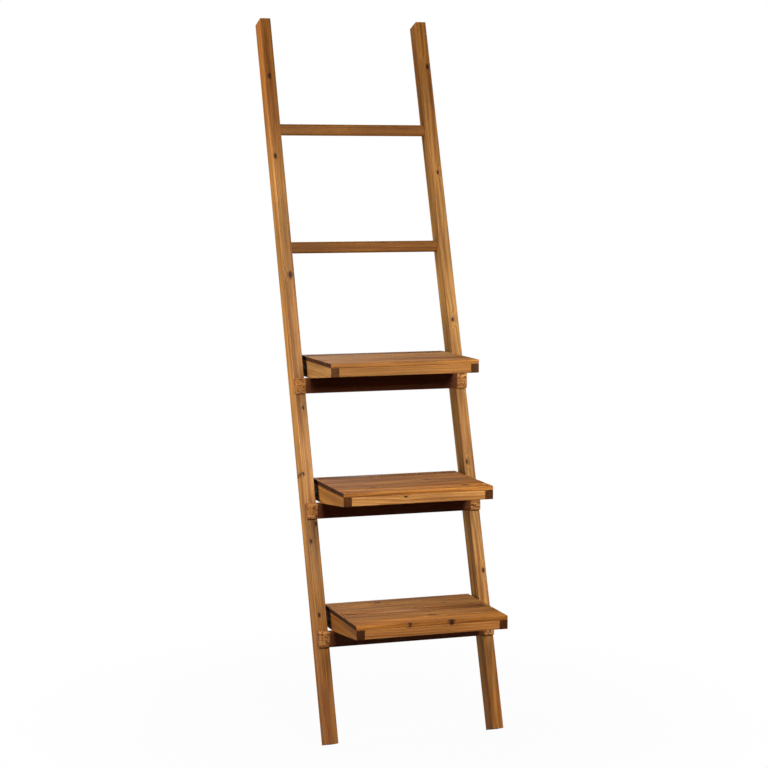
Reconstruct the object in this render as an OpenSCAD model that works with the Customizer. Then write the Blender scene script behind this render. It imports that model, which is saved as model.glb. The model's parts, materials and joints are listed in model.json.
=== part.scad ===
// Ladder shelf with three fold-up slatted trays.
// Millimetres, +Z up, front towards -Y. The origin is on the floor, at the
// middle of the shelf's footprint box.

/* [Ladder] */
// Outside width over both stiles
overall_w = 440; // [380:1:600]
// Length of each stile
stile_len = 1800; // [1500:10:2100]
// Width of a stile seen from the front
stile_w = 27; // [20:0.5:40]
// Depth of a stile from front face to back face
stile_d = 50; // [35:0.5:60]
// Backward lean of the stiles from upright, in degrees
lean = 18.3; // [12:0.1:22]

/* [Rungs] */
// Height of the upper rung's centre above the floor
upper_rung_z = 1445.5; // [1350:0.5:1600]
// Height of the lower rung's centre above the floor
lower_rung_z = 1154.5; // [1080:0.5:1300]
// Height of a rung
rung_h = 28; // [20:0.5:40]
// Front-to-back thickness of a rung
rung_d = 18; // [14:0.5:30]
// Distance of a rung's centre behind the stile's front face
rung_set = 29; // [10:0.5:32]
// Depth of a rung's end housed in the stile
tenon_len = 12; // [8:0.5:18]

/* [Trays] */
// Width of a tray
tray_w = 368; // [300:1:520]
// Front-to-back depth of a tray
tray_d = 260; // [200:1:280]
// Height of the bottom tray's top face above the floor
bottom_tray_z = 315.5; // [250:0.5:400]
// Vertical distance from one tray to the next
tray_pitch = 290; // [285:0.5:330]
// Reach of a tray's front edge ahead of the stile's front face
tray_reach = 211; // [150:1:230]
// Number of slats in a tray
slat_n = 5; // [4:1:7]
// Gap between two slats
slat_gap = 4; // [2:0.5:10]
// Thickness of a slat
slat_t = 10; // [8:0.5:16]
// Thickness of a side rail
rail_t = 20; // [16:0.5:26]
// Height of a side rail over its support bar
rail_h = 40; // [36:0.5:60]
// Height of the front rail and of a side rail's front end
front_h = 21.5; // [12:0.5:26]
// Thickness of the front rail
front_t = 18; // [14:0.5:24]
// Height of the back rail
back_h = 28; // [20:0.5:30]
// Thickness of the back rail
back_t = 18; // [14:0.5:24]

/* [Support bars] */
// Height of a support bar
bar_h = 36.5; // [26:0.5:45]
// Front-to-back thickness of a support bar
bar_t = 20; // [16:0.5:26]
// How far a bar's front face stands ahead of the stile at its lower edge
bar_proud = 6.5; // [2:0.5:8]

/* [Pivots] */
// Distance of a tray's pivot behind the stile's front face, level
pivot_back = 17.5; // [14:0.5:30]
// Distance of a tray's pivot below the tray's top face
pivot_drop = 29; // [25:0.5:33]
// Shank diameter of a pivot screw
pivot_dia = 8; // [6:1:10]
// Depth of a pivot screw in the stile
pivot_grip = 17; // [12:0.5:20]

/* [Hidden] */
$fn = 48;
pine = [0.66, 0.42, 0.22];
pine_light = [0.72, 0.47, 0.25];
steel = [0.62, 0.62, 0.60];
nylon = [0.12, 0.10, 0.09];

cut = 1;              // overshoot of a cutting solid
rest_gap = 0.3;       // air between a tray at rest and its bar
fold_gap = 0.35;      // air between a folded tray's heel and its bar
run_fit = 0.1;        // radial clearance of a rail on its pivot screw
side_gap = 0.35;      // air beside a rail, at the spacer and at the washer
board_ease = 1.5;     // chamfer on the long edges of boards
rung_ease = 4;        // chamfer on the long edges of rungs
slat_ease = 1;        // chamfer on the long edges of slats

head_af = 13;         // pivot screw head across its flats
head_t = 5.5;         // pivot screw head thickness
washer_dia = 22;
washer_t = 1.8;
spacer_dia = 20;

brad_dia = 1.4;
brad_len = 22;
brad_head_dia = 2.4;
brad_head_t = 0.8;
brad_sink = 0.3;      // depth of a brad's head below the slat's face
brad_off = 10;        // distance of a brad from its slat's centre line

dowel_dia = 6;
dowel_in_side = 14;
dowel_in_rail = 20;

wood_screw_dia = 4.5;
wood_screw_len = 40;
wood_screw_head = 9;
wood_screw_bite = 14; // length held in the bar
cross_w = 1.2;        // arm width of the driver recess
cross_d = 1.6;        // depth of the driver recess

foot_lift = stile_d * sin(lean);
stile_reach = stile_len * sin(lean) + stile_d * cos(lean);
stile_x = overall_w / 2 - stile_w / 2;
inner_w = overall_w - 2 * stile_w;
stile_level_d = stile_d / cos(lean);

function rise(z) = (z - foot_lift) * tan(lean);
front_y = -(rise(bottom_tray_z) - tray_reach + stile_reach) / 2;
function face_y(z) = front_y + rise(z);
function tray_z(i) = bottom_tray_z + i * tray_pitch;

bar_top = slat_t + rail_h + rest_gap;
bar_mid = bar_top + bar_h / 2;
bar_face = -(bar_top + bar_h) * tan(lean) - bar_proud;
bar_back = bar_face + bar_t;

pivot_y = pivot_back - pivot_drop * tan(lean);
tray_front = -tray_reach;
tray_back = tray_d - tray_reach;
slat_w = (tray_d - (slat_n - 1) * slat_gap) / slat_n;
side_x = tray_w / 2 - rail_t / 2;
rail_span = tray_w - 2 * rail_t;
rail_low = slat_t + rail_h;
heel_reach = pivot_y - bar_back - fold_gap;
heel_y = pivot_y + (heel_reach - (rail_low - pivot_drop) * cos(lean)) / sin(lean);
heel_rise = (tray_back - heel_y) * tan(lean);
front_dowel_z = -slat_t - front_h / 2;
back_dowel_z = -(brad_sink + brad_len + dowel_dia / 2 + 1);  // clear of the brads

// ---- shared shapes ----

module eased(a, b, e) {
    polygon([
        [-a / 2 + e, -b / 2], [a / 2 - e, -b / 2],
        [a / 2, -b / 2 + e], [a / 2, b / 2 - e],
        [a / 2 - e, b / 2], [-a / 2 + e, b / 2],
        [-a / 2, b / 2 - e], [-a / 2, -b / 2 + e]
    ]);
}

// Board along X, centred; d is its Y size and h its Z size
module board_x(len, d, h, e) {
    rotate([90, 0, 90])
        linear_extrude(len, center = true)
            eased(d, h, e);
}

// Frame of one tray: origin at the stile's front face, level with the tray's top
module at_tray(i) {
    translate([0, face_y(tray_z(i)), tray_z(i)])
        children();
}

// ---- ladder ----

module stile_blank() {
    translate([0, front_y, foot_lift])
        rotate([-lean, 0, 0])
            translate([0, stile_d / 2, 0])
                linear_extrude(stile_len)
                    eased(stile_w, stile_d, board_ease);
}

module rung(z) {
    translate([0, face_y(z) + rung_set / cos(lean), z])
        board_x(inner_w + 2 * tenon_len, rung_d, rung_h, rung_ease);
}

module bar_notch() {
    translate([0, bar_back - stile_d / 2, -bar_mid])
        cube([stile_w + 2 * cut, stile_d, bar_h], center = true);
}

module bar_screw_seat() {
    // Level hole from the stile's back, wide behind the screw's head
    translate([0, bar_back - wood_screw_bite, -bar_mid])
        rotate([-90, 0, 0])
            union() {
                cylinder(d = wood_screw_dia, h = wood_screw_len);
                translate([0, 0, wood_screw_len - wood_screw_head / 2])
                    cylinder(d1 = 0, d2 = wood_screw_head, h = wood_screw_head / 2);
                translate([0, 0, wood_screw_len])
                    cylinder(d = wood_screw_head, h = stile_d);
            }
}

module stile(side) {
    difference() {
        translate([side * stile_x, 0, 0])
            stile_blank();
        rung(upper_rung_z);
        rung(lower_rung_z);
        for (i = [0:2])
            at_tray(i)
                translate([side * stile_x, 0, 0]) {
                    bar_notch();
                    bar_screw_seat();
                }
        for (i = [0:2])
            at_tray(i)
                translate([side * inner_w / 2, pivot_y, -pivot_drop])
                    rotate([0, side * 90, 0])
                        translate([0, 0, -cut])
                            cylinder(d = pivot_dia, h = pivot_grip + cut);
    }
}

module left_stile() {
    color(pine) stile(-1);
}

module right_stile() {
    color(pine) stile(1);
}

module upper_rung() {
    color(pine) rung(upper_rung_z);
}

module lower_rung() {
    color(pine) rung(lower_rung_z);
}

// ---- support bars ----

module support_bar(i) {
    difference() {
        at_tray(i)
            translate([0, bar_face + bar_t / 2, -bar_mid])
                board_x(overall_w, bar_t, bar_h, board_ease);
        for (side = [-1, 1])
            at_tray(i)
                translate([side * stile_x, 0, 0])
                    wood_screw_body();
    }
}

// Screw seen from its tip: it runs back along +Y to a countersunk head
module wood_screw_body() {
    translate([0, bar_back - wood_screw_bite, -bar_mid])
        rotate([-90, 0, 0])
            union() {
                cylinder(d = wood_screw_dia, h = wood_screw_len);
                translate([0, 0, wood_screw_len - wood_screw_head / 2])
                    cylinder(d1 = 0, d2 = wood_screw_head, h = wood_screw_head / 2);
            }
}

module wood_screw() {
    difference() {
        wood_screw_body();
        translate([0, bar_back - wood_screw_bite + wood_screw_len, -bar_mid])
            for (a = [0, 90])
                rotate([0, a, 0])
                    cube([wood_screw_head * 0.55, 2 * cross_d, cross_w], center = true);
    }
}

module bottom_support_bar() {
    color(pine) support_bar(0);
}

module middle_support_bar() {
    color(pine) support_bar(1);
}

module top_support_bar() {
    color(pine) support_bar(2);
}

module support_bar_screws() {
    color(steel)
        for (i = [0:2])
            at_tray(i)
                for (side = [-1, 1])
                    translate([side * stile_x, 0, 0])
                        wood_screw();
}

// ---- tray pivots, all held by the stiles ----

module at_pivot(i, side) {
    // Local +Z runs from the stile's inner face towards the tray
    at_tray(i)
        translate([side * inner_w / 2, pivot_y, -pivot_drop])
            rotate([0, -side * 90, 0])
                children();
}

side_room = (inner_w - tray_w) / 2;
washer_at = side_room + rail_t + side_gap;

module pivot_screws() {
    color(steel)
        for (i = [0:2])
            for (side = [-1, 1])
                at_pivot(i, side)
                    union() {
                        translate([0, 0, -pivot_grip])
                            cylinder(d = pivot_dia, h = pivot_grip + washer_at + washer_t + head_t / 2);
                        translate([0, 0, washer_at + washer_t])
                            cylinder(d = head_af / cos(30), h = head_t, $fn = 6);
                    }
}

module pivot_washers() {
    color(steel)
        for (i = [0:2])
            for (side = [-1, 1])
                at_pivot(i, side)
                    translate([0, 0, washer_at])
                        ring(washer_dia, pivot_dia, washer_t);
}

module pivot_spacers() {
    color(nylon)
        for (i = [0:2])
            for (side = [-1, 1])
                at_pivot(i, side)
                    ring(spacer_dia, pivot_dia, side_room - side_gap);
}

module ring(outer, inner, h) {
    difference() {
        cylinder(d = outer, h = h);
        translate([0, 0, -cut])
            cylinder(d = inner, h = h + 2 * cut);
    }
}

// ---- trays ----

function slat_y(k) = tray_front + slat_w / 2 + k * (slat_w + slat_gap);

module brad_at(k, side, off, extra) {
    translate([side * side_x, slat_y(k) + off, -brad_sink])
        union() {
            translate([0, 0, -brad_len])
                cylinder(d = brad_dia, h = brad_len);
            translate([0, 0, -brad_head_t])
                cylinder(d = brad_head_dia, h = brad_head_t + extra);
        }
}

module slat_brads(k, extra) {
    for (side = [-1, 1])
        for (off = [-brad_off, brad_off])
            brad_at(k, side, off, extra);
}

module slat(i, k) {
    at_tray(i)
        difference() {
            translate([0, slat_y(k), -slat_t / 2])
                board_x(tray_w, slat_w, slat_t, slat_ease);
            slat_brads(k, cut);
        }
}

module dowel_pair(z, y) {
    for (side = [-1, 1])
        translate([side * (rail_span / 2 - dowel_in_rail), y, z])
            rotate([0, side * 90, 0])
                cylinder(d = dowel_dia, h = dowel_in_rail + dowel_in_side);
}

module tray_dowels() {
    dowel_pair(front_dowel_z, tray_front + front_t / 2);
    dowel_pair(back_dowel_z, tray_back - back_t / 2);
}

module side_rail(i, side) {
    at_tray(i)
        difference() {
            translate([side * side_x, 0, 0])
                rotate([90, 0, 90])
                    linear_extrude(rail_t, center = true)
                        polygon([
                            [tray_front, -slat_t],
                            [tray_front, -slat_t - front_h],
                            [bar_face, -rail_low],
                            [heel_y, -rail_low],
                            [tray_back, -rail_low + heel_rise],
                            [tray_back, -slat_t]
                        ]);
            translate([side * side_x, pivot_y, -pivot_drop])
                rotate([0, 90, 0])
                    cylinder(d = pivot_dia + 2 * run_fit, h = rail_t + 2 * cut, center = true);
            tray_dowels();
            for (k = [0:slat_n - 1])
                for (off = [-brad_off, brad_off])
                    brad_at(k, side, off, 0);
        }
}

module front_rail(i) {
    at_tray(i)
        difference() {
            translate([0, tray_front + front_t / 2, -slat_t - front_h / 2])
                board_x(rail_span, front_t, front_h, slat_ease);
            tray_dowels();
        }
}

module back_rail(i) {
    at_tray(i)
        difference() {
            translate([0, tray_back - back_t / 2, -slat_t - back_h / 2])
                board_x(rail_span, back_t, back_h, slat_ease);
            tray_dowels();
        }
}

module dowels(i) {
    at_tray(i) tray_dowels();
}

module brads(i) {
    at_tray(i)
        for (k = [0:slat_n - 1])
            slat_brads(k, 0);
}

module bottom_tray_slat_1() {
    color(pine_light) slat(0, 0);
}

module bottom_tray_slat_2() {
    color(pine_light) slat(0, 1);
}

module bottom_tray_slat_3() {
    color(pine_light) slat(0, 2);
}

module bottom_tray_slat_4() {
    color(pine_light) slat(0, 3);
}

module bottom_tray_slat_5() {
    color(pine_light) slat(0, 4);
}

module bottom_tray_left_rail() {
    color(pine) side_rail(0, -1);
}

module bottom_tray_right_rail() {
    color(pine) side_rail(0, 1);
}

module bottom_tray_front_rail() {
    color(pine) front_rail(0);
}

module bottom_tray_back_rail() {
    color(pine) back_rail(0);
}

module bottom_tray_dowels() {
    color(pine_light) dowels(0);
}

module bottom_tray_brads() {
    color(steel) brads(0);
}

module middle_tray_slat_1() {
    color(pine_light) slat(1, 0);
}

module middle_tray_slat_2() {
    color(pine_light) slat(1, 1);
}

module middle_tray_slat_3() {
    color(pine_light) slat(1, 2);
}

module middle_tray_slat_4() {
    color(pine_light) slat(1, 3);
}

module middle_tray_slat_5() {
    color(pine_light) slat(1, 4);
}

module middle_tray_left_rail() {
    color(pine) side_rail(1, -1);
}

module middle_tray_right_rail() {
    color(pine) side_rail(1, 1);
}

module middle_tray_front_rail() {
    color(pine) front_rail(1);
}

module middle_tray_back_rail() {
    color(pine) back_rail(1);
}

module middle_tray_dowels() {
    color(pine_light) dowels(1);
}

module middle_tray_brads() {
    color(steel) brads(1);
}

module top_tray_slat_1() {
    color(pine_light) slat(2, 0);
}

module top_tray_slat_2() {
    color(pine_light) slat(2, 1);
}

module top_tray_slat_3() {
    color(pine_light) slat(2, 2);
}

module top_tray_slat_4() {
    color(pine_light) slat(2, 3);
}

module top_tray_slat_5() {
    color(pine_light) slat(2, 4);
}

module top_tray_left_rail() {
    color(pine) side_rail(2, -1);
}

module top_tray_right_rail() {
    color(pine) side_rail(2, 1);
}

module top_tray_front_rail() {
    color(pine) front_rail(2);
}

module top_tray_back_rail() {
    color(pine) back_rail(2);
}

module top_tray_dowels() {
    color(pine_light) dowels(2);
}

module top_tray_brads() {
    color(steel) brads(2);
}

left_stile();
right_stile();
upper_rung();
lower_rung();
bottom_support_bar();
middle_support_bar();
top_support_bar();
support_bar_screws();
pivot_screws();
pivot_washers();
pivot_spacers();
bottom_tray_slat_1();
bottom_tray_slat_2();
bottom_tray_slat_3();
bottom_tray_slat_4();
bottom_tray_slat_5();
bottom_tray_left_rail();
bottom_tray_right_rail();
bottom_tray_front_rail();
bottom_tray_back_rail();
bottom_tray_dowels();
bottom_tray_brads();
middle_tray_slat_1();
middle_tray_slat_2();
middle_tray_slat_3();
middle_tray_slat_4();
middle_tray_slat_5();
middle_tray_left_rail();
middle_tray_right_rail();
middle_tray_front_rail();
middle_tray_back_rail();
middle_tray_dowels();
middle_tray_brads();
top_tray_slat_1();
top_tray_slat_2();
top_tray_slat_3();
top_tray_slat_4();
top_tray_slat_5();
top_tray_left_rail();
top_tray_right_rail();
top_tray_front_rail();
top_tray_back_rail();
top_tray_dowels();
top_tray_brads();
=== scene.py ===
"""Ladder shelf: finished boards, hardware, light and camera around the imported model."""
import json
import math
import random

import bmesh
import bpy
from mathutils import Euler, Matrix, Vector


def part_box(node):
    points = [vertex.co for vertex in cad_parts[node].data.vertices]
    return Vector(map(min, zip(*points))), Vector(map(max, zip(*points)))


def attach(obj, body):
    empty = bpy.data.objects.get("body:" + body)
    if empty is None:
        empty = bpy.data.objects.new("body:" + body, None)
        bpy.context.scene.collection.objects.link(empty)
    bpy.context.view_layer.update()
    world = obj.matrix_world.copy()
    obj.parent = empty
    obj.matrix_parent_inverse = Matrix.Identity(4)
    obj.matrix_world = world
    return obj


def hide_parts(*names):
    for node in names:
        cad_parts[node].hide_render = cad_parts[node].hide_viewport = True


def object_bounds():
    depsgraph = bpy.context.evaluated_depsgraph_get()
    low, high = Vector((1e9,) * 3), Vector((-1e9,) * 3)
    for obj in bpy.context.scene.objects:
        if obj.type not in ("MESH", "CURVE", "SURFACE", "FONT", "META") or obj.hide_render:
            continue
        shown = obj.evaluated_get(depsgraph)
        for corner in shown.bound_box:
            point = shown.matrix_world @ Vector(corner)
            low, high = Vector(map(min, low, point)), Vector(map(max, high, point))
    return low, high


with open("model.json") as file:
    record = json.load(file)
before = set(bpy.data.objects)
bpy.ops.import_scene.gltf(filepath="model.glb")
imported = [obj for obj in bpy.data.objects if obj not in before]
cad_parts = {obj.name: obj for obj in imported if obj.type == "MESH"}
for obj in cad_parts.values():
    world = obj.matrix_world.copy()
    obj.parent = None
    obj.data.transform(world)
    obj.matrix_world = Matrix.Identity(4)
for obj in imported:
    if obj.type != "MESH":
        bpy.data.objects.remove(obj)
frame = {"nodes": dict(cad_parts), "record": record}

cad_lo, cad_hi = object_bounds()
record = frame["record"]
trays = ("bottom", "middle", "top")
slot_of = {part["node"]: part["material_slot"] for part in record["subparts"]}
body_of = {n: b for b, names in record["behaviour"]["bodies"].items() for n in names}

# The stiles' lean, from the way their feet are cut
foot = next(m for m in record["mounts"] if m["name"] == "left_foot")
LEAN = math.atan2(-foot["axis"][1], -foot["axis"][2])


# ---------------------------------------------------------------- node helpers

class Tree:
    """Short names for building one material's nodes."""

    def __init__(self, name):
        self.mat = bpy.data.materials.new(name)
        self.mat.use_nodes = True
        self.nodes = self.mat.node_tree.nodes
        self.links = self.mat.node_tree.links
        self.shader = next(n for n in self.nodes if n.type == "BSDF_PRINCIPLED")

    def put(self, socket, value):
        if isinstance(value, bpy.types.NodeSocket):
            self.links.new(value, socket)
        else:
            socket.default_value = value

    def math(self, op, a, b=0.0, c=0.0, clamp=False):
        n = self.nodes.new("ShaderNodeMath")
        n.operation = op
        n.use_clamp = clamp
        for socket, value in zip(n.inputs, (a, b, c)):
            self.put(socket, value)
        return n.outputs[0]

    def vec(self, op, a, b=(0, 0, 0), out="Vector"):
        n = self.nodes.new("ShaderNodeVectorMath")
        n.operation = op
        self.put(n.inputs[0], a)
        self.put(n.inputs[1], b)
        return n.outputs[out]

    def ramp(self, value, lo, hi, to_lo=0.0, to_hi=1.0):
        n = self.nodes.new("ShaderNodeMapRange")
        n.interpolation_type = "SMOOTHSTEP"
        for key, v in (("Value", value), ("From Min", lo), ("From Max", hi),
                       ("To Min", to_lo), ("To Max", to_hi)):
            self.put(n.inputs[key], v)
        return n.outputs[0]

    def noise(self, vector, scale=1.0, detail=2.0, rough=0.5, color=False):
        n = self.nodes.new("ShaderNodeTexNoise")
        self.put(n.inputs["Vector"], vector)
        n.inputs["Scale"].default_value = scale
        n.inputs["Detail"].default_value = detail
        n.inputs["Roughness"].default_value = rough
        return n.outputs["Color" if color else "Fac"]

    def mix(self, fac, a, b, blend="MIX"):
        n = self.nodes.new("ShaderNodeMix")
        n.data_type = "RGBA"
        n.blend_type = blend
        self.put(n.inputs[0], fac)
        self.put(n.inputs[6], a if not isinstance(a, tuple) else (*a, 1.0))
        self.put(n.inputs[7], b if not isinstance(b, tuple) else (*b, 1.0))
        return n.outputs[2]

    def split(self, vector):
        n = self.nodes.new("ShaderNodeSeparateXYZ")
        self.put(n.inputs[0], vector)
        return n.outputs

    def join(self, x, y, z):
        n = self.nodes.new("ShaderNodeCombineXYZ")
        for socket, value in zip(n.inputs, (x, y, z)):
            self.put(socket, value)
        return n.outputs[0]

    def bump(self, height, strength, distance):
        n = self.nodes.new("ShaderNodeBump")
        n.inputs["Strength"].default_value = strength
        n.inputs["Distance"].default_value = distance
        self.put(n.inputs["Height"], height)
        self.put(self.shader.inputs["Normal"], n.outputs[0])


# ---------------------------------------------------------------- materials

# Turns that bring a board's grain onto the texture's X
GRAIN = {"x": Euler((0, 0, 0)), "y": Euler((0, 0, -math.pi / 2)),
         "stile": Euler((LEAN, math.pi / 2, 0))}

# Stained pine: early and late wood, knots, and the dark lines of pitch and open pores
EARLY = (0.52, 0.238, 0.066)
LATE = (0.25, 0.082, 0.017)
KNOT = (0.030, 0.008, 0.0025)
PITCH = (0.035, 0.010, 0.004)
KNOT_RIM = tuple(k * 2.6 for k in KNOT)
# What pale streaks, and the darkening towards a stile's ends, multiply the colour by
PALE_STREAK = (1.26, 1.32, 1.35)
ENDWARD_DARKENING = (0.86, 0.70, 0.48)
DEEPENS_OVER = 0.5
# A support bar: painted shade, dark red between the stiles, stands in for the tray's shadow over
# it; spotted where its ends are bare
BAR_PAINTED_SHADE = (0.075, 0.011, 0.004)
BAR_SPOT = (0.085, 0.020, 0.008)
BLOCK_EDGE = 0.003
WOOD_SHEEN = 0.11


def wood(name, grain, centre, seed, tone=(1.0, 1.0, 1.0), ring=0.0045, pith=(0.05, 0.03),
         knots=(), block=None, end=(0.28, 0.21, 0.13), deep=None, streaky=0.62):
    """Stained pine. Texture X runs along the grain, and its origin is the board's centre.

    tone: what multiplies the wood's colours. ring: width of a year's growth.
    pith: how far off the middle of the tree is, along texture Y and Z.
    knots: (along, across, radius, axis) in metres from the centre; the knot runs through
    the board along texture axis 1 or 2.
    block: half length past which the face is rough and spotted; within it, painted shade darkens
    the bar.
    end: what end grain multiplies the colour by.
    deep: half length beyond which the colour is darker, towards the board's ends.
    streaky: how strongly dark streaks show."""
    rnd = random.Random(seed)
    t = Tree(name)
    turn = GRAIN[grain]
    coord = t.nodes.new("ShaderNodeTexCoord")
    place = t.nodes.new("ShaderNodeMapping")
    place.inputs["Rotation"].default_value = turn
    place.inputs["Location"].default_value = -(turn.to_matrix() @ centre)
    t.put(place.inputs["Vector"], coord.outputs["Object"])
    p = place.outputs[0]
    shift = Vector((rnd.uniform(3, 9), rnd.uniform(3, 9), rnd.uniform(3, 9)))
    q = t.vec("ADD", p, shift)

    # Slow wander of the grain
    wander = t.vec("SUBTRACT", t.noise(t.vec("MULTIPLY", q, (2.2, 9, 9)), detail=2, color=True),
                   (0.5, 0.5, 0.5))
    wander = t.vec("MULTIPLY", wander, (0, 0.022, 0.022))
    u, v, w = t.split(p)

    # Knots: a hill in the rings, a dark core and a darker rim
    hill = None
    core = None
    rim = None
    jag = t.noise(q, scale=160, detail=2)
    for along, across, radius, axis in knots:
        side = v if axis == 2 else w
        du = t.math("MULTIPLY", t.math("SUBTRACT", u, along), 0.55 / radius)
        dv = t.math("MULTIPLY", t.math("SUBTRACT", side, across), 1.0 / radius)
        d = t.vec("LENGTH", t.join(du, dv, 0.0), out="Value")
        d = t.math("ADD", d, t.math("MULTIPLY_ADD", jag, 1.5, -0.75))
        h = t.ramp(d, 0.6, 5.0, radius * 2.1, 0.0)
        c = t.ramp(d, 0.72, 1.05, 1.0, 0.0)
        r = t.math("SUBTRACT", t.ramp(d, 0.9, 1.8, 1.0, 0.0), c, clamp=True)
        hill = h if hill is None else t.math("ADD", hill, h)
        core = c if core is None else t.math("MAXIMUM", core, c)
        rim = r if rim is None else t.math("MAXIMUM", rim, r)

    # Growth rings round a pith that runs slightly across the board
    tilt = (rnd.uniform(-0.012, 0.012), rnd.uniform(-0.012, 0.012))
    from_pith = t.join(0.0,
                       t.math("MULTIPLY_ADD", u, tilt[0], t.math("ADD", v, pith[0])),
                       t.math("MULTIPLY_ADD", u, tilt[1], t.math("ADD", w, pith[1])))
    dist = t.vec("LENGTH", t.vec("ADD", from_pith, wander), out="Value")
    if hill is not None:
        dist = t.math("ADD", dist, hill)
    phase = t.math("ADD", t.math("MULTIPLY", dist, 1.0 / ring), rnd.uniform(0, 50))
    inside = t.math("FRACT", phase)
    year = t.nodes.new("ShaderNodeTexWhiteNoise")
    year.noise_dimensions = "1D"
    t.put(year.inputs["W"], t.math("FLOOR", phase))
    late = t.math("MULTIPLY", t.ramp(inside, 0.30, 0.90), t.ramp(inside, 0.93, 1.0, 1.0, 0.0))
    late = t.math("MULTIPLY", late, t.math("MULTIPLY_ADD", year.outputs["Value"], 0.55, 0.32))

    # Fibres, streaks of stain and broad blotches
    fibre = t.noise(t.vec("MULTIPLY", q, (14, 700, 700)), detail=3, rough=0.6)
    streak = t.noise(t.vec("MULTIPLY", q, (3.2, 95, 95)), detail=3, rough=0.62)
    blotch = t.noise(t.vec("MULTIPLY", q, (5, 16, 16)), detail=2)
    fleck = t.ramp(t.noise(t.vec("MULTIPLY", q, (55, 900, 900)), detail=1), 0.63, 0.74)

    early = tuple(e * k for e, k in zip(EARLY, tone))
    dark = tuple(e * k for e, k in zip(LATE, tone))
    color = t.mix(late, early, dark)
    color = t.mix(t.ramp(streak, 0.40, 0.68, 0.0, streaky), color, dark)
    color = t.mix(t.ramp(streak, 0.42, 0.24, 0.0, 0.45), color,
                  tuple(min(1, e * k) for e, k in zip(early, PALE_STREAK)))
    light = t.math("MULTIPLY_ADD", fibre, 0.75, 0.62)
    light = t.math("MULTIPLY", light, t.ramp(blotch, 0.25, 0.75, 0.80, 1.18))
    color = t.mix(1.0, color, t.join(light, light, light), blend="MULTIPLY")
    color = t.mix(t.math("MULTIPLY", fleck, 0.45), color, PITCH)
    if core is not None:
        color = t.mix(t.math("MULTIPLY", rim, 0.6), color, KNOT_RIM)
        color = t.mix(t.math("MULTIPLY", core, t.math("MULTIPLY_ADD", jag, 0.4, 0.78), clamp=True),
                      color, KNOT)

    # Darker towards the board's ends
    if deep is not None:
        deeper = t.mix(1.0, color, ENDWARD_DARKENING, blend="MULTIPLY")
        color = t.mix(t.ramp(t.math("ABSOLUTE", u), deep, deep + DEEPENS_OVER), color, deeper)

    # End grain drinks more stain
    facing = t.vec("DOT_PRODUCT", coord.outputs["Normal"],
                   turn.to_matrix().inverted() @ Vector((1, 0, 0)), out="Value")
    cut = t.ramp(t.math("ABSOLUTE", facing), 0.70, 0.90)
    pore = t.noise(q, scale=520, detail=2, rough=0.7)
    end_color = t.mix(1.0, color, end, blend="MULTIPLY")
    end_color = t.mix(t.ramp(pore, 0.50, 0.62, 0.0, 0.8), end_color, PITCH)
    color = t.mix(cut, color, end_color)
    rough_zone = cut
    if block is not None:
        zone = t.ramp(t.math("ABSOLUTE", u), block, block + BLOCK_EDGE)
        spot = t.noise(t.vec("MULTIPLY", q, (170, 210, 210)), detail=2, rough=0.6)
        color = t.mix(t.math("MULTIPLY", zone, t.ramp(spot, 0.50, 0.60, 0.0, 0.85)), color,
                      BAR_SPOT)
        # Painted shade: between the stiles the bar is mixed towards near-black red, standing in
        # for the tray's shadow
        tray_shade_mask = t.math("SUBTRACT", 1.0, zone)
        color = t.mix(t.math("MULTIPLY", tray_shade_mask, 0.85), color, BAR_PAINTED_SHADE)
        rough_zone = t.math("MAXIMUM", cut, zone)

    t.put(t.shader.inputs["Base Color"], color)
    rough = t.math("MULTIPLY_ADD", fibre, 0.22, 0.42)
    rough = t.math("MULTIPLY_ADD", late, -0.10, rough)
    t.put(t.shader.inputs["Roughness"], t.math("MULTIPLY_ADD", rough_zone, 0.2, rough, clamp=True))
    t.shader.inputs["Specular IOR Level"].default_value = WOOD_SHEEN
    height = t.math("MULTIPLY_ADD", fibre, 0.55, t.math("MULTIPLY", late, 0.5))
    height = t.math("MULTIPLY_ADD", fleck, -0.5, height)
    height = t.math("MULTIPLY_ADD", rough_zone, t.math("MULTIPLY", pore, 2.0), height)
    t.bump(height, 0.45, 0.0005)
    return t.mat


def metal(name, color, roughness, scratch):
    """Plated steel, clouded and finely scratched. scratch: noise scale along the scratches."""
    t = Tree(name)
    coord = t.nodes.new("ShaderNodeTexCoord").outputs["Object"]
    grain = t.noise(t.vec("MULTIPLY", coord, (scratch, 900, 900)), detail=3, rough=0.6)
    cloud = t.noise(coord, scale=140, detail=3)
    shade = t.mix(t.ramp(cloud, 0.35, 0.7), color, tuple(k * 0.72 for k in color))
    t.put(t.shader.inputs["Base Color"], t.mix(t.math("MULTIPLY", grain, 0.35), shade,
                                               tuple(k * 0.5 for k in color)))
    t.shader.inputs["Metallic"].default_value = 1.0
    t.put(t.shader.inputs["Roughness"], t.math("MULTIPLY_ADD", cloud, 0.3, roughness))
    t.bump(grain, 0.2, 0.0001)
    return t.mat


def moulded(name, color):
    """Matte moulded plastic."""
    t = Tree(name)
    coord = t.nodes.new("ShaderNodeTexCoord").outputs["Object"]
    grain = t.noise(coord, scale=900, detail=3, rough=0.6)
    cloud = t.noise(coord, scale=70, detail=2)
    t.put(t.shader.inputs["Base Color"],
          t.mix(cloud, tuple(k * 0.7 for k in color), tuple(k * 1.5 for k in color)))
    t.put(t.shader.inputs["Roughness"], t.math("MULTIPLY_ADD", grain, 0.3, 0.5))
    t.shader.inputs["Specular IOR Level"].default_value = 0.2
    t.bump(grain, 0.25, 0.0002)
    return t.mat


# ---------------------------------------------------------------- boards

# How far arrises are eased
EASE = 0.0006
SLAT_EASE = 0.0005
RUNG_EASE = 0.0016
# Facets flatter than this are joined, and edges sharper and longer than these are eased
FLAT = math.radians(0.5)
SHARP = math.radians(25)
LONG = 0.004


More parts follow.
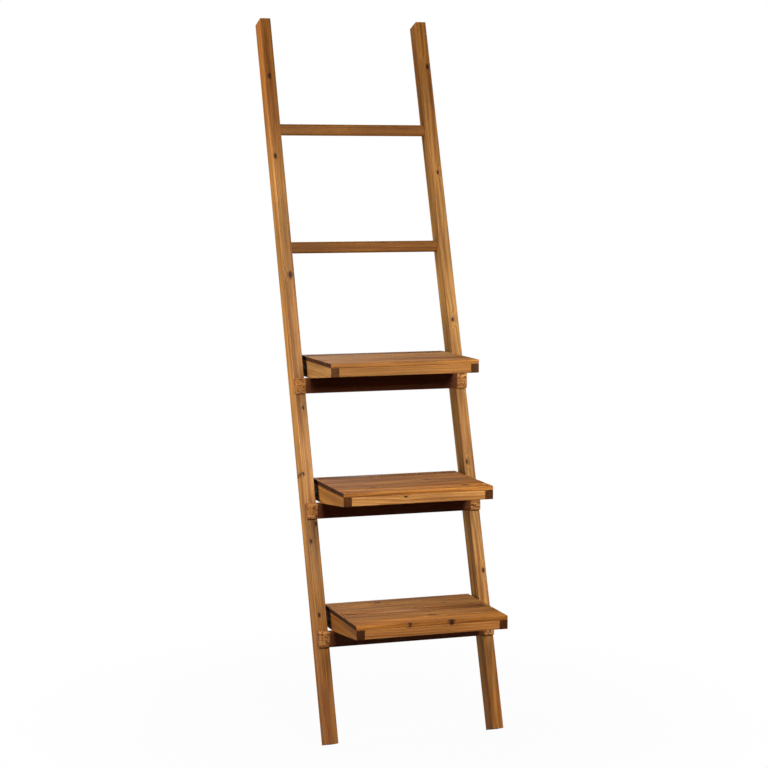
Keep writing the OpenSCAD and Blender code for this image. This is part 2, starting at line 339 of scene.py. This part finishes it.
def finish_board(node, material, ease=EASE):
    """A copy of a CAD board with its arrises rounded over, which stands for it."""
    source = frame["nodes"][node]
    bm = bmesh.new()
    bm.from_mesh(source.data)
    bmesh.ops.remove_doubles(bm, verts=bm.verts, dist=2e-6)
    bmesh.ops.dissolve_limit(bm, angle_limit=FLAT, verts=bm.verts, edges=bm.edges)
    sharp = [e for e in bm.edges
             if len(e.link_faces) == 2 and e.is_convex and e.calc_length() > LONG
             and e.calc_face_angle(0.0) > SHARP]
    bmesh.ops.bevel(bm, geom=sharp, offset=ease, offset_type="OFFSET", segments=2, profile=0.5,
                    affect="EDGES", clamp_overlap=True)
    bmesh.ops.dissolve_degenerate(bm, dist=1e-6, edges=bm.edges)
    bmesh.ops.triangulate(bm, faces=[f for f in bm.faces if len(f.verts) > 4])
    bmesh.ops.recalc_face_normals(bm, faces=bm.faces)
    mesh = bpy.data.meshes.new(node + "_finished")
    bm.to_mesh(mesh)
    bm.free()
    piece = bpy.data.objects.new(node + "_finished", mesh)
    bpy.context.scene.collection.objects.link(piece)
    mesh.materials.append(material)
    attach(piece, body_of[node])
    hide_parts(node)
    return piece


def centre(node):
    lo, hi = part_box(node)
    return (lo + hi) / 2


grainy = random.Random(20)


def tone(spread, base):
    """A board's own shade of a base tone: lighter or darker, and warmer or cooler."""
    value = 1 + grainy.uniform(-spread, spread)
    warm = grainy.uniform(-0.05, 0.05)
    return (base[0] * value, base[1] * value * (1 - warm), base[2] * value * (1 - 2 * warm))


# Stiles. Texture X runs up the stile, Y towards the back and Z towards the left
# Knots in the front face, in mm: up from the middle, to the left of it, and radius
stile_knots = {
    "left_stile": ((748, 3, 4.0), (537, 7, 3.5), (232, -3, 4.5), (-260, 11, 3.0),
                   (-100, -4, 2.5), (-424, 8, 3.5), (-383, -8, 3.0), (-600, 4, 3.0)),
    "right_stile": ((778, -5, 4.0), (495, -1, 3.0), (111, 2, 3.2), (-250, 6, 2.8),
                    (-520, -6, 3.5)),
}
for name, seed, pith, shade in (("left_stile", 3, (0.035, 0.045), (0.68, 0.70, 0.66)),
                                ("right_stile", 8, (-0.05, -0.03), (0.76, 0.83, 0.82))):
    knots = [(up / 1000, left / 1000, radius / 1000, 1) for up, left, radius in stile_knots[name]]
    finish_board(name, wood(name, "stile", centre(name), seed, tone=shade, pith=pith,
                            streaky=0.9, ring=0.0042, knots=knots, deep=0.35))

# Rungs, each with one knot
for name, seed in (("upper_rung", 21), ("lower_rung", 22)):
    finish_board(name, wood(name, "x", centre(name), seed, tone=(0.45, 0.38, 0.22),
                            pith=(0.02, -0.03), ring=0.004,
                            knots=[(grainy.uniform(-0.12, 0.12), 0.003, 0.004, 2)]), RUNG_EASE)

# Support bars, with the shade under each tray painted on between the stiles
inner_half = -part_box("left_stile")[1].x
for seed, tray in enumerate(trays):
    name = tray + "_support_bar"
    finish_board(name, wood(name, "x", centre(name), 30 + seed, tone=(0.98, 0.98, 1.0),
                            pith=(0.03, 0.02), ring=0.004, block=inner_half,
                            end=(0.66, 0.56, 0.46)))

# Trays. Two knots run from the bottom tray's front slat down into its front rail
knot_a, knot_b = 0.045, -0.056
front_knots = {
    "bottom_tray_slat_1": [(knot_a, -0.0225, 0.0042, 2), (knot_b, -0.0225, 0.0026, 2)],
    "bottom_tray_front_rail": [(knot_a, 0.0115, 0.0030, 1), (knot_b, 0.0115, 0.0018, 1)],
    "middle_tray_front_rail": [(-0.033, 0.006, 0.0022, 1)],
}
# Tones from the bottom tray to the top one
slat_tones = ((0.48, 0.42, 0.26), (0.49, 0.42, 0.28), (0.59, 0.56, 0.42))
side_tones = ((0.46, 0.38, 0.24), (0.52, 0.50, 0.38), (0.56, 0.62, 0.66))
front_tones = ((0.66, 0.60, 0.56), (0.86, 0.86, 0.84), (0.56, 0.50, 0.40))
rail_tone = {"left_rail": side_tones, "right_rail": side_tones, "front_rail": front_tones,
             "back_rail": ((0.95, 0.90, 0.70),) * 3}
rail_grain = {"left_rail": "y", "right_rail": "y", "front_rail": "x", "back_rail": "x"}
# Painted light and shade: the slats behind the front one keep darker tones so their tops read as
# less lit, and the front slat, seen by its lit front face, is made this much lighter
FRONT_SLAT_PAINTED_LIGHT = 1.3


def slat_knots():
    """No knot or one, anywhere in a slat."""
    return [(grainy.uniform(-0.15, 0.15), grainy.uniform(-0.015, 0.015),
             grainy.uniform(0.003, 0.006), 2) for _ in range(grainy.choice((0, 1, 1)))]


for number, tray in enumerate(trays):
    for k in range(1, 6):
        name = f"{tray}_tray_slat_{k}"
        base = tuple(c * (FRONT_SLAT_PAINTED_LIGHT if k == 1 else 1.0) for c in slat_tones[number])
        knots = front_knots.get(name) or slat_knots()
        finish_board(name, wood(name, "x", centre(name), 100 * (number + 1) + k,
                                tone=tone(0.09, base), end=(0.13, 0.085, 0.035),
                                pith=(grainy.uniform(-0.03, 0.03), grainy.uniform(0.02, 0.06)),
                                ring=grainy.uniform(0.0035, 0.005), knots=knots,
                                streaky=0.85), SLAT_EASE)
    for part, grain in rail_grain.items():
        name = f"{tray}_tray_{part}"
        finish_board(name, wood(name, grain, centre(name), 100 * (number + 1) + 20 + len(part),
                                tone=tone(0.05, rail_tone[part][number]),
                                pith=(grainy.uniform(0.02, 0.05), 0.03),
                                ring=0.0045, knots=front_knots.get(name, ())))

# Dowels, screws, brads, washers and spacers keep their CAD shapes
beech = wood("dowel_beech", "x", Vector((0, 0, 0)), 77, tone=(1.25, 1.6, 2.2), ring=0.006,
             pith=(0.05, 0.05))
zinc = metal("zinc_steel", (0.60, 0.60, 0.58), roughness=0.28, scratch=60)
nylon = moulded("nylon", (0.010, 0.009, 0.009))
plain = {"dowel_beech": beech, "zinc_steel": zinc, "nylon": nylon}
PIVOT_PARTS = ("pivot_screws", "pivot_washers", "pivot_spacers")
PIVOT_EASE = 0.0003
PIVOT_SHARP = math.radians(50)
WELD_GAP = 0.00001
for node, obj in frame["nodes"].items():
    if slot_of[node] in plain:
        obj.data.materials.clear()
        obj.data.materials.append(plain[slot_of[node]])
        if node in PIVOT_PARTS:
            weld = obj.modifiers.new("weld", "WELD")
            weld.merge_threshold = WELD_GAP
            ease = obj.modifiers.new("ease", "BEVEL")
            ease.width = PIVOT_EASE
            ease.segments = 2
            ease.limit_method = "ANGLE"
            ease.angle_limit = PIVOT_SHARP


# ---------------------------------------------------------------- floor, light, camera

FLOOR_HALF = 14
FLOOR_GAP = 0.0005
# The floor is all but white to the camera, with a painted shadow that greys it a touch near the
# feet
FLOOR_WHITE_IN_PAINTED_SHADE, FLOOR_FAR = 0.97, 1.0
NEAR_FEET, FAR_FROM_FEET = 0.3, 1.2
AMBIENT = 0.035

scene = bpy.context.scene
scene.view_settings.view_transform = "Standard"
scene.view_settings.look = "None"

bm = bmesh.new()
bmesh.ops.create_grid(bm, x_segments=4, y_segments=4, size=FLOOR_HALF)
floor_mesh = bpy.data.meshes.new("floor")
bm.to_mesh(floor_mesh)
bm.free()
floor = bpy.data.objects.new("floor", floor_mesh)
floor.location = (0, 0, cad_lo.z - FLOOR_GAP)
scene.collection.objects.link(floor)
paper = Tree("floor_paper")
paper.shader.inputs["Base Color"].default_value = (0.20, 0.20, 0.20, 1)
paper.shader.inputs["Roughness"].default_value = 0.9
glow = paper.nodes.new("ShaderNodeEmission")
glow.inputs["Color"].default_value = (1, 1, 1, 1)
seen = paper.nodes.new("ShaderNodeLightPath")
blend = paper.nodes.new("ShaderNodeMixShader")
out = next(n for n in paper.nodes if n.type == "OUTPUT_MATERIAL")
on_floor = paper.nodes.new("ShaderNodeTexCoord").outputs["Object"]
from_feet = paper.vec("LENGTH", on_floor, out="Value")
# Painted shadow: less white emission close to the feet, set by distance alone
white_less_painted_shade = paper.ramp(from_feet, NEAR_FEET, FAR_FROM_FEET, FLOOR_WHITE_IN_PAINTED_SHADE, FLOOR_FAR)
paper.put(blend.inputs[0], paper.math("MULTIPLY", seen.outputs["Is Camera Ray"], white_less_painted_shade))
paper.put(blend.inputs[1], paper.shader.outputs[0])
paper.put(blend.inputs[2], glow.outputs[0])
paper.put(out.inputs["Surface"], blend.outputs[0])
floor_mesh.materials.append(paper.mat)

world = bpy.data.worlds.new("studio")
scene.world = world
world.use_nodes = True
wn, wl = world.node_tree.nodes, world.node_tree.links
sky = next(n for n in wn if n.type == "BACKGROUND")
sky.inputs["Color"].default_value = (1, 1, 1, 1)
path = wn.new("ShaderNodeLightPath")
strength = wn.new("ShaderNodeMapRange")
strength.inputs["To Min"].default_value = AMBIENT
strength.inputs["To Max"].default_value = 1.0
wl.new(path.outputs["Is Camera Ray"], strength.inputs["Value"])
wl.new(strength.outputs[0], sky.inputs["Strength"])

middle = (cad_lo + cad_hi) / 2


def softbox(name, aim, azimuth, elevation, distance, width, height, power, spread=180):
    """Area light aimed at a point. Azimuth 0 stands in front of it, 90 on its right.

    distance, width and height in metres, power in watts, the rest in degrees."""
    az, el = math.radians(azimuth), math.radians(elevation)
    away = Vector((math.sin(az) * math.cos(el), -math.cos(az) * math.cos(el), math.sin(el)))
    data = bpy.data.lights.new(name, "AREA")
    data.shape = "RECTANGLE"
    data.size, data.size_y, data.energy = width, height, power
    data.spread = math.radians(spread)
    light = bpy.data.objects.new(name, data)
    light.location = aim + away * distance
    light.rotation_euler = away.to_track_quat("Z", "Y").to_euler()
    scene.collection.objects.link(light)


softbox("key", Vector((0, middle.y, 0.57)), azimuth=2, elevation=31, distance=2.3,
        width=1.0, height=1.0, power=24, spread=96)
softbox("left_fill", Vector((cad_lo.x, 0.15, 1.15)), azimuth=-90, elevation=3, distance=1.25,
        width=0.3, height=1.9, power=40)
softbox("right_fill", Vector((cad_hi.x, 0.15, 1.12)), azimuth=90, elevation=3, distance=2.0,
        width=0.4, height=1.4, power=20)
softbox("back_fill", middle, azimuth=180, elevation=35, distance=4.5,
        width=2.0, height=1.5, power=80)

# Camera: a long lens at eye height, left of the shelf's middle
YAW, PITCH_DOWN, ROLL = math.radians(18.3061), math.radians(5.8856), math.radians(-0.0609)
DISTANCE = 4.7225
LENS, SENSOR = 92.881, 36
aim = Vector((-0.0312, cad_lo.y + 0.2619, 0.8370))
data = bpy.data.cameras.new("camera")
data.lens, data.sensor_width = LENS, SENSOR
data.clip_end = 60
camera = bpy.data.objects.new("camera", data)
turn = Euler((math.pi / 2 - PITCH_DOWN, 0, -YAW)).to_matrix()
ahead = turn @ Vector((0, 0, -1))
camera.matrix_world = (Matrix.Translation(aim - ahead * DISTANCE)
                       @ (turn @ Matrix.Rotation(ROLL, 3, "Z")).to_4x4())
scene.collection.objects.link(camera)
scene.camera = camera
